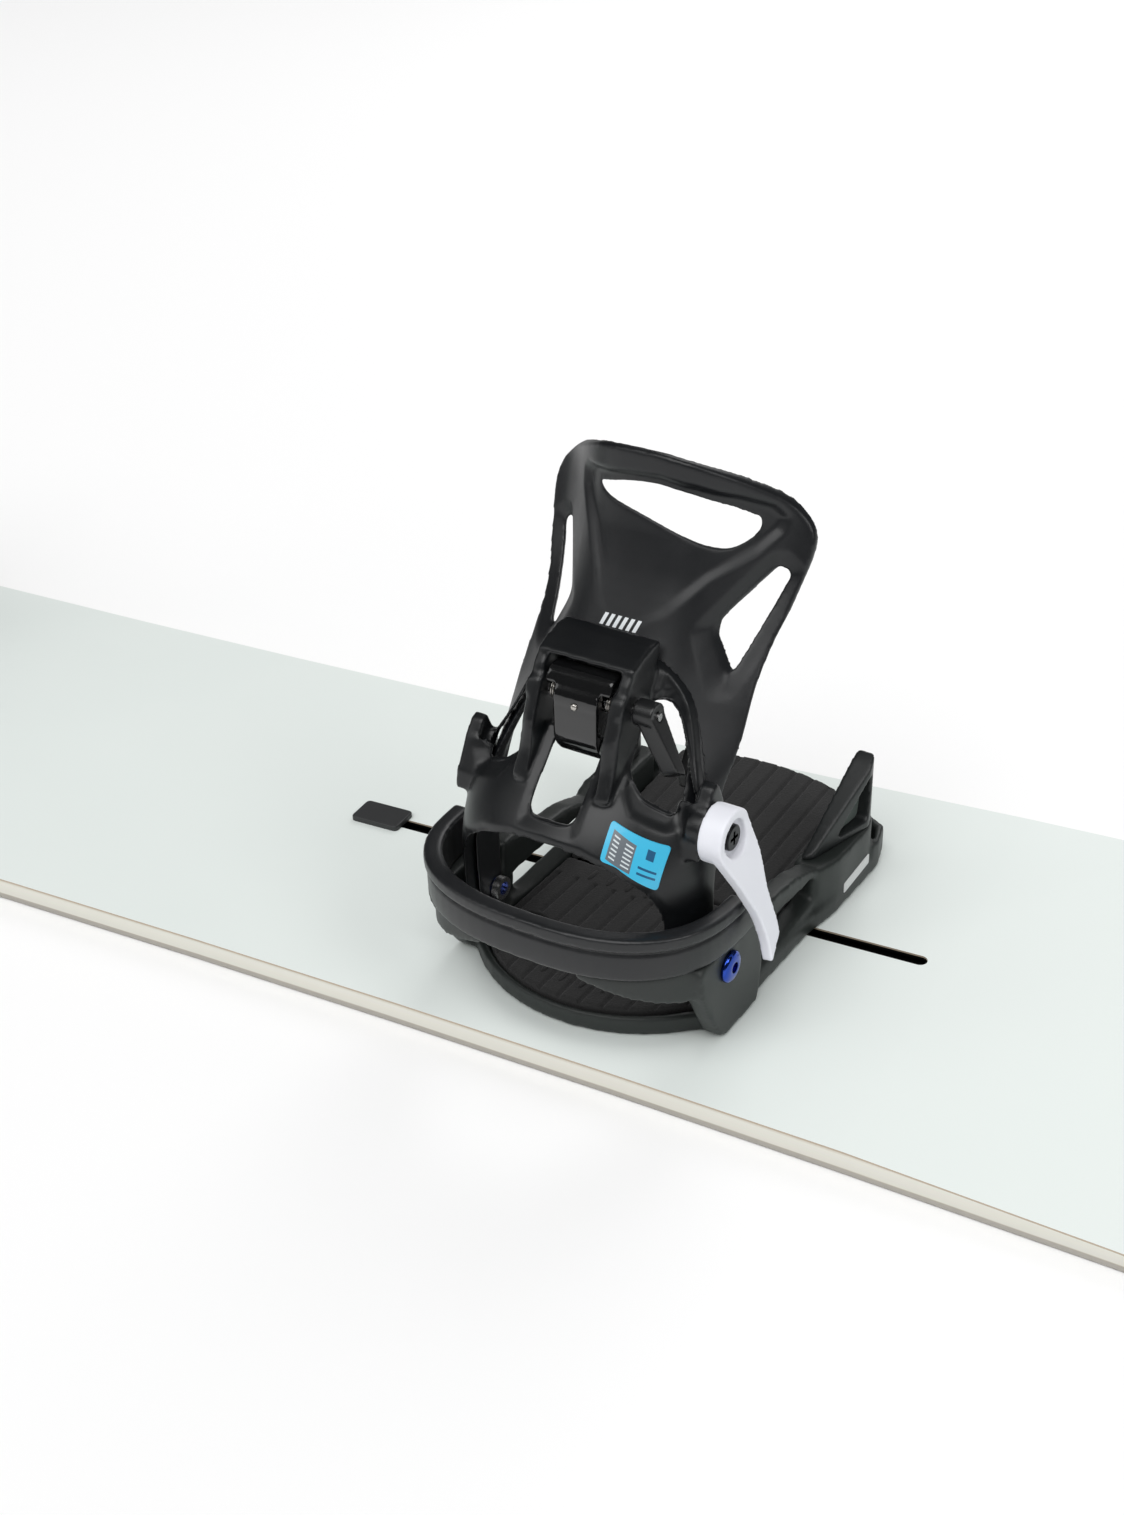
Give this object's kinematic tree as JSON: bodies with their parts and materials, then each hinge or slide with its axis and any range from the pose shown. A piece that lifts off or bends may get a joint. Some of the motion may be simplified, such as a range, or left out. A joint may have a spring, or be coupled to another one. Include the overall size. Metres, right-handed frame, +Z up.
{
  "type": "snowboard with bindings",
  "caption": "All-mountain snowboard with channel mounts and step-in bindings: highback, heel latch, release lever, toe hooks and foam footbeds.",
  "frame": {"origin": "under the middle of the board, on the surface that the base rests on", "axes": "+X along the board towards the end with the right-hand binding, +Y towards the toe side, +Z up"},
  "size_m": [1.5, 0.2812, 0.2343],
  "materials": {
    "board_base": "sintered board base, waxed",
    "baseplate": "glass-filled nylon, satin",
    "steel": "steel",
    "plug": "black soft plug",
    "channel": "black channel rail",
    "core": "laminated wood core",
    "foam": "moulded EVA foam",
    "carrier": "satin black nylon",
    "hoop": "satin nylon",
    "latch": "gloss black",
    "blade": "satin black nylon",
    "bolt_blue": "blue anodised",
    "lever_white": "white satin nylon",
    "screw_black": "black oxide",
    "strip": "plain pale strip",
    "sidewall": "cream ABS sidewall",
    "label": null,
    "edge_steel": "ground steel edge",
    "catch": "grey nylon plate",
    "hook": "satin nylon",
    "topsheet": "pale mint satin sheet"
  },
  "bodies": {
    "board": {"base": "board_base", "steel_edges": "edge_steel", "sidewalls": "sidewall", "core": "core", "topsheet": "topsheet", "channel_rails": "channel", "channel_plugs": "plug"},
    "binding_right": {"baseplate_right": "baseplate", "heel_hoop_right": "hoop", "footbed_front_right": "foam", "footbed_heel_right": "foam", "hinge_bolts_right": "bolt_blue", "hinge_nuts_right": "steel", "toe_hook_lateral_right": "hook", "toe_hook_medial_right": "hook", "toe_catches_right": "catch", "toe_hook_screws_right": "screw_black", "mounting_bolts_right": "steel", "mounting_washers_right": "steel", "channel_nuts_right": "steel", "side_strips_right": "strip"},
    "carrier_right": {"heel_carrier_right": "carrier", "latch_pin_right": "steel", "latch_springs_right": "steel", "release_lever_screw_right": "screw_black", "size_label_right": "label", "lean_pin_right": "steel"},
    "highback_right": {"highback_right": "blade"},
    "lean_block_right": {"lean_block_right": "carrier"},
    "lean_lever_right": {"lean_lever_right": "carrier"},
    "release_lever_right": {"release_lever_right": "lever_white"},
    "heel_latch_right": {"heel_latch_right": "latch"},
    "binding_left": {"baseplate_left": "baseplate", "heel_hoop_left": "hoop", "footbed_front_left": "foam", "footbed_heel_left": "foam", "hinge_bolts_left": "bolt_blue", "hinge_nuts_left": "steel", "toe_hook_lateral_left": "hook", "toe_hook_medial_left": "hook", "toe_catches_left": "catch", "toe_hook_screws_left": "screw_black", "mounting_bolts_left": "steel", "mounting_washers_left": "steel", "channel_nuts_left": "steel", "side_strips_left": "strip"},
    "carrier_left": {"heel_carrier_left": "carrier", "latch_pin_left": "steel", "latch_springs_left": "steel", "release_lever_screw_left": "screw_black", "size_label_left": "label", "lean_pin_left": "steel"},
    "highback_left": {"highback_left": "blade"},
    "lean_block_left": {"lean_block_left": "carrier"},
    "lean_lever_left": {"lean_lever_left": "carrier"},
    "release_lever_left": {"release_lever_left": "lever_white"},
    "heel_latch_left": {"heel_latch_left": "latch"}
  },
  "joints": [
    {"name": "stance_slide_right", "type": "slide", "parent": "board", "child": "binding_right", "axis": [1, 0, 0], "range_m": [-0.02, 0.02]},
    {"name": "highback_fold_right", "type": "hinge", "parent": "binding_right", "child": "carrier_right", "pos_m": [0.27289, -0.07667, 0.0454], "axis": [-0.9957, 0.0924, 0], "range_deg": [0, 40]},
    {"name": "lean_adjust_right", "type": "hinge", "parent": "carrier_right", "child": "highback_right", "pos_m": [0.27289, -0.07667, 0.0454], "axis": [-0.9957, 0.0924, 0], "range_deg": [0, 8]},
    {"name": "lean_block_slide_right", "type": "slide", "parent": "carrier_right", "child": "lean_block_right", "axis": [0, 0, -1], "range_m": [0, 0.008]},
    {"name": "lean_lever_flip_right", "type": "hinge", "parent": "carrier_right", "child": "lean_lever_right", "pos_m": [0.30046, -0.07823, 0.1489], "axis": [-0.9957, 0.0924, 0], "range_deg": [0, 60]},
    {"name": "release_lever_pull_right", "type": "hinge", "parent": "carrier_right", "child": "release_lever_right", "pos_m": [0.33245, -0.0842, 0.1074], "axis": [0.9957, -0.0924, 0], "range_deg": [0, 60]},
    {"name": "heel_latch_swing_right", "type": "hinge", "parent": "carrier_right", "child": "heel_latch_right", "pos_m": [0.27298, -0.07568, 0.1489], "axis": [-0.9957, 0.0924, 0], "range_deg": [0, 24]},
    {"name": "stance_slide_left", "type": "slide", "parent": "board", "child": "binding_left", "axis": [1, 0, 0], "range_m": [-0.02, 0.02]},
    {"name": "highback_fold_left", "type": "hinge", "parent": "binding_left", "child": "carrier_left", "pos_m": [-0.27289, -0.07667, 0.0454], "axis": [-0.9957, -0.0924, 0], "range_deg": [0, 40]},
    {"name": "lean_adjust_left", "type": "hinge", "parent": "carrier_left", "child": "highback_left", "pos_m": [-0.27289, -0.07667, 0.0454], "axis": [-0.9957, -0.0924, 0], "range_deg": [0, 8]},
    {"name": "lean_block_slide_left", "type": "slide", "parent": "carrier_left", "child": "lean_block_left", "axis": [0, 0, -1], "range_m": [0, 0.008]},
    {"name": "lean_lever_flip_left", "type": "hinge", "parent": "carrier_left", "child": "lean_lever_left", "pos_m": [-0.30046, -0.07823, 0.1489], "axis": [-0.9957, -0.0924, 0], "range_deg": [0, 60]},
    {"name": "release_lever_pull_left", "type": "hinge", "parent": "carrier_left", "child": "release_lever_left", "pos_m": [-0.33245, -0.0842, 0.1074], "axis": [0.9957, 0.0924, 0], "range_deg": [0, 60]},
    {"name": "heel_latch_swing_left", "type": "hinge", "parent": "carrier_left", "child": "heel_latch_left", "pos_m": [-0.27298, -0.07568, 0.1489], "axis": [-0.9957, -0.0924, 0], "range_deg": [0, 24]}
  ],
  "couplings": [
    {"joint": "heel_latch_swing_right", "follows": "release_lever_pull_right", "ratio": 0.4},
    {"joint": "lean_block_slide_right", "follows": "lean_adjust_right", "m_per_rad": 0.0573},
    {"joint": "heel_latch_swing_left", "follows": "release_lever_pull_left", "ratio": 0.4},
    {"joint": "lean_block_slide_left", "follows": "lean_adjust_left", "m_per_rad": 0.0573}
  ]
}
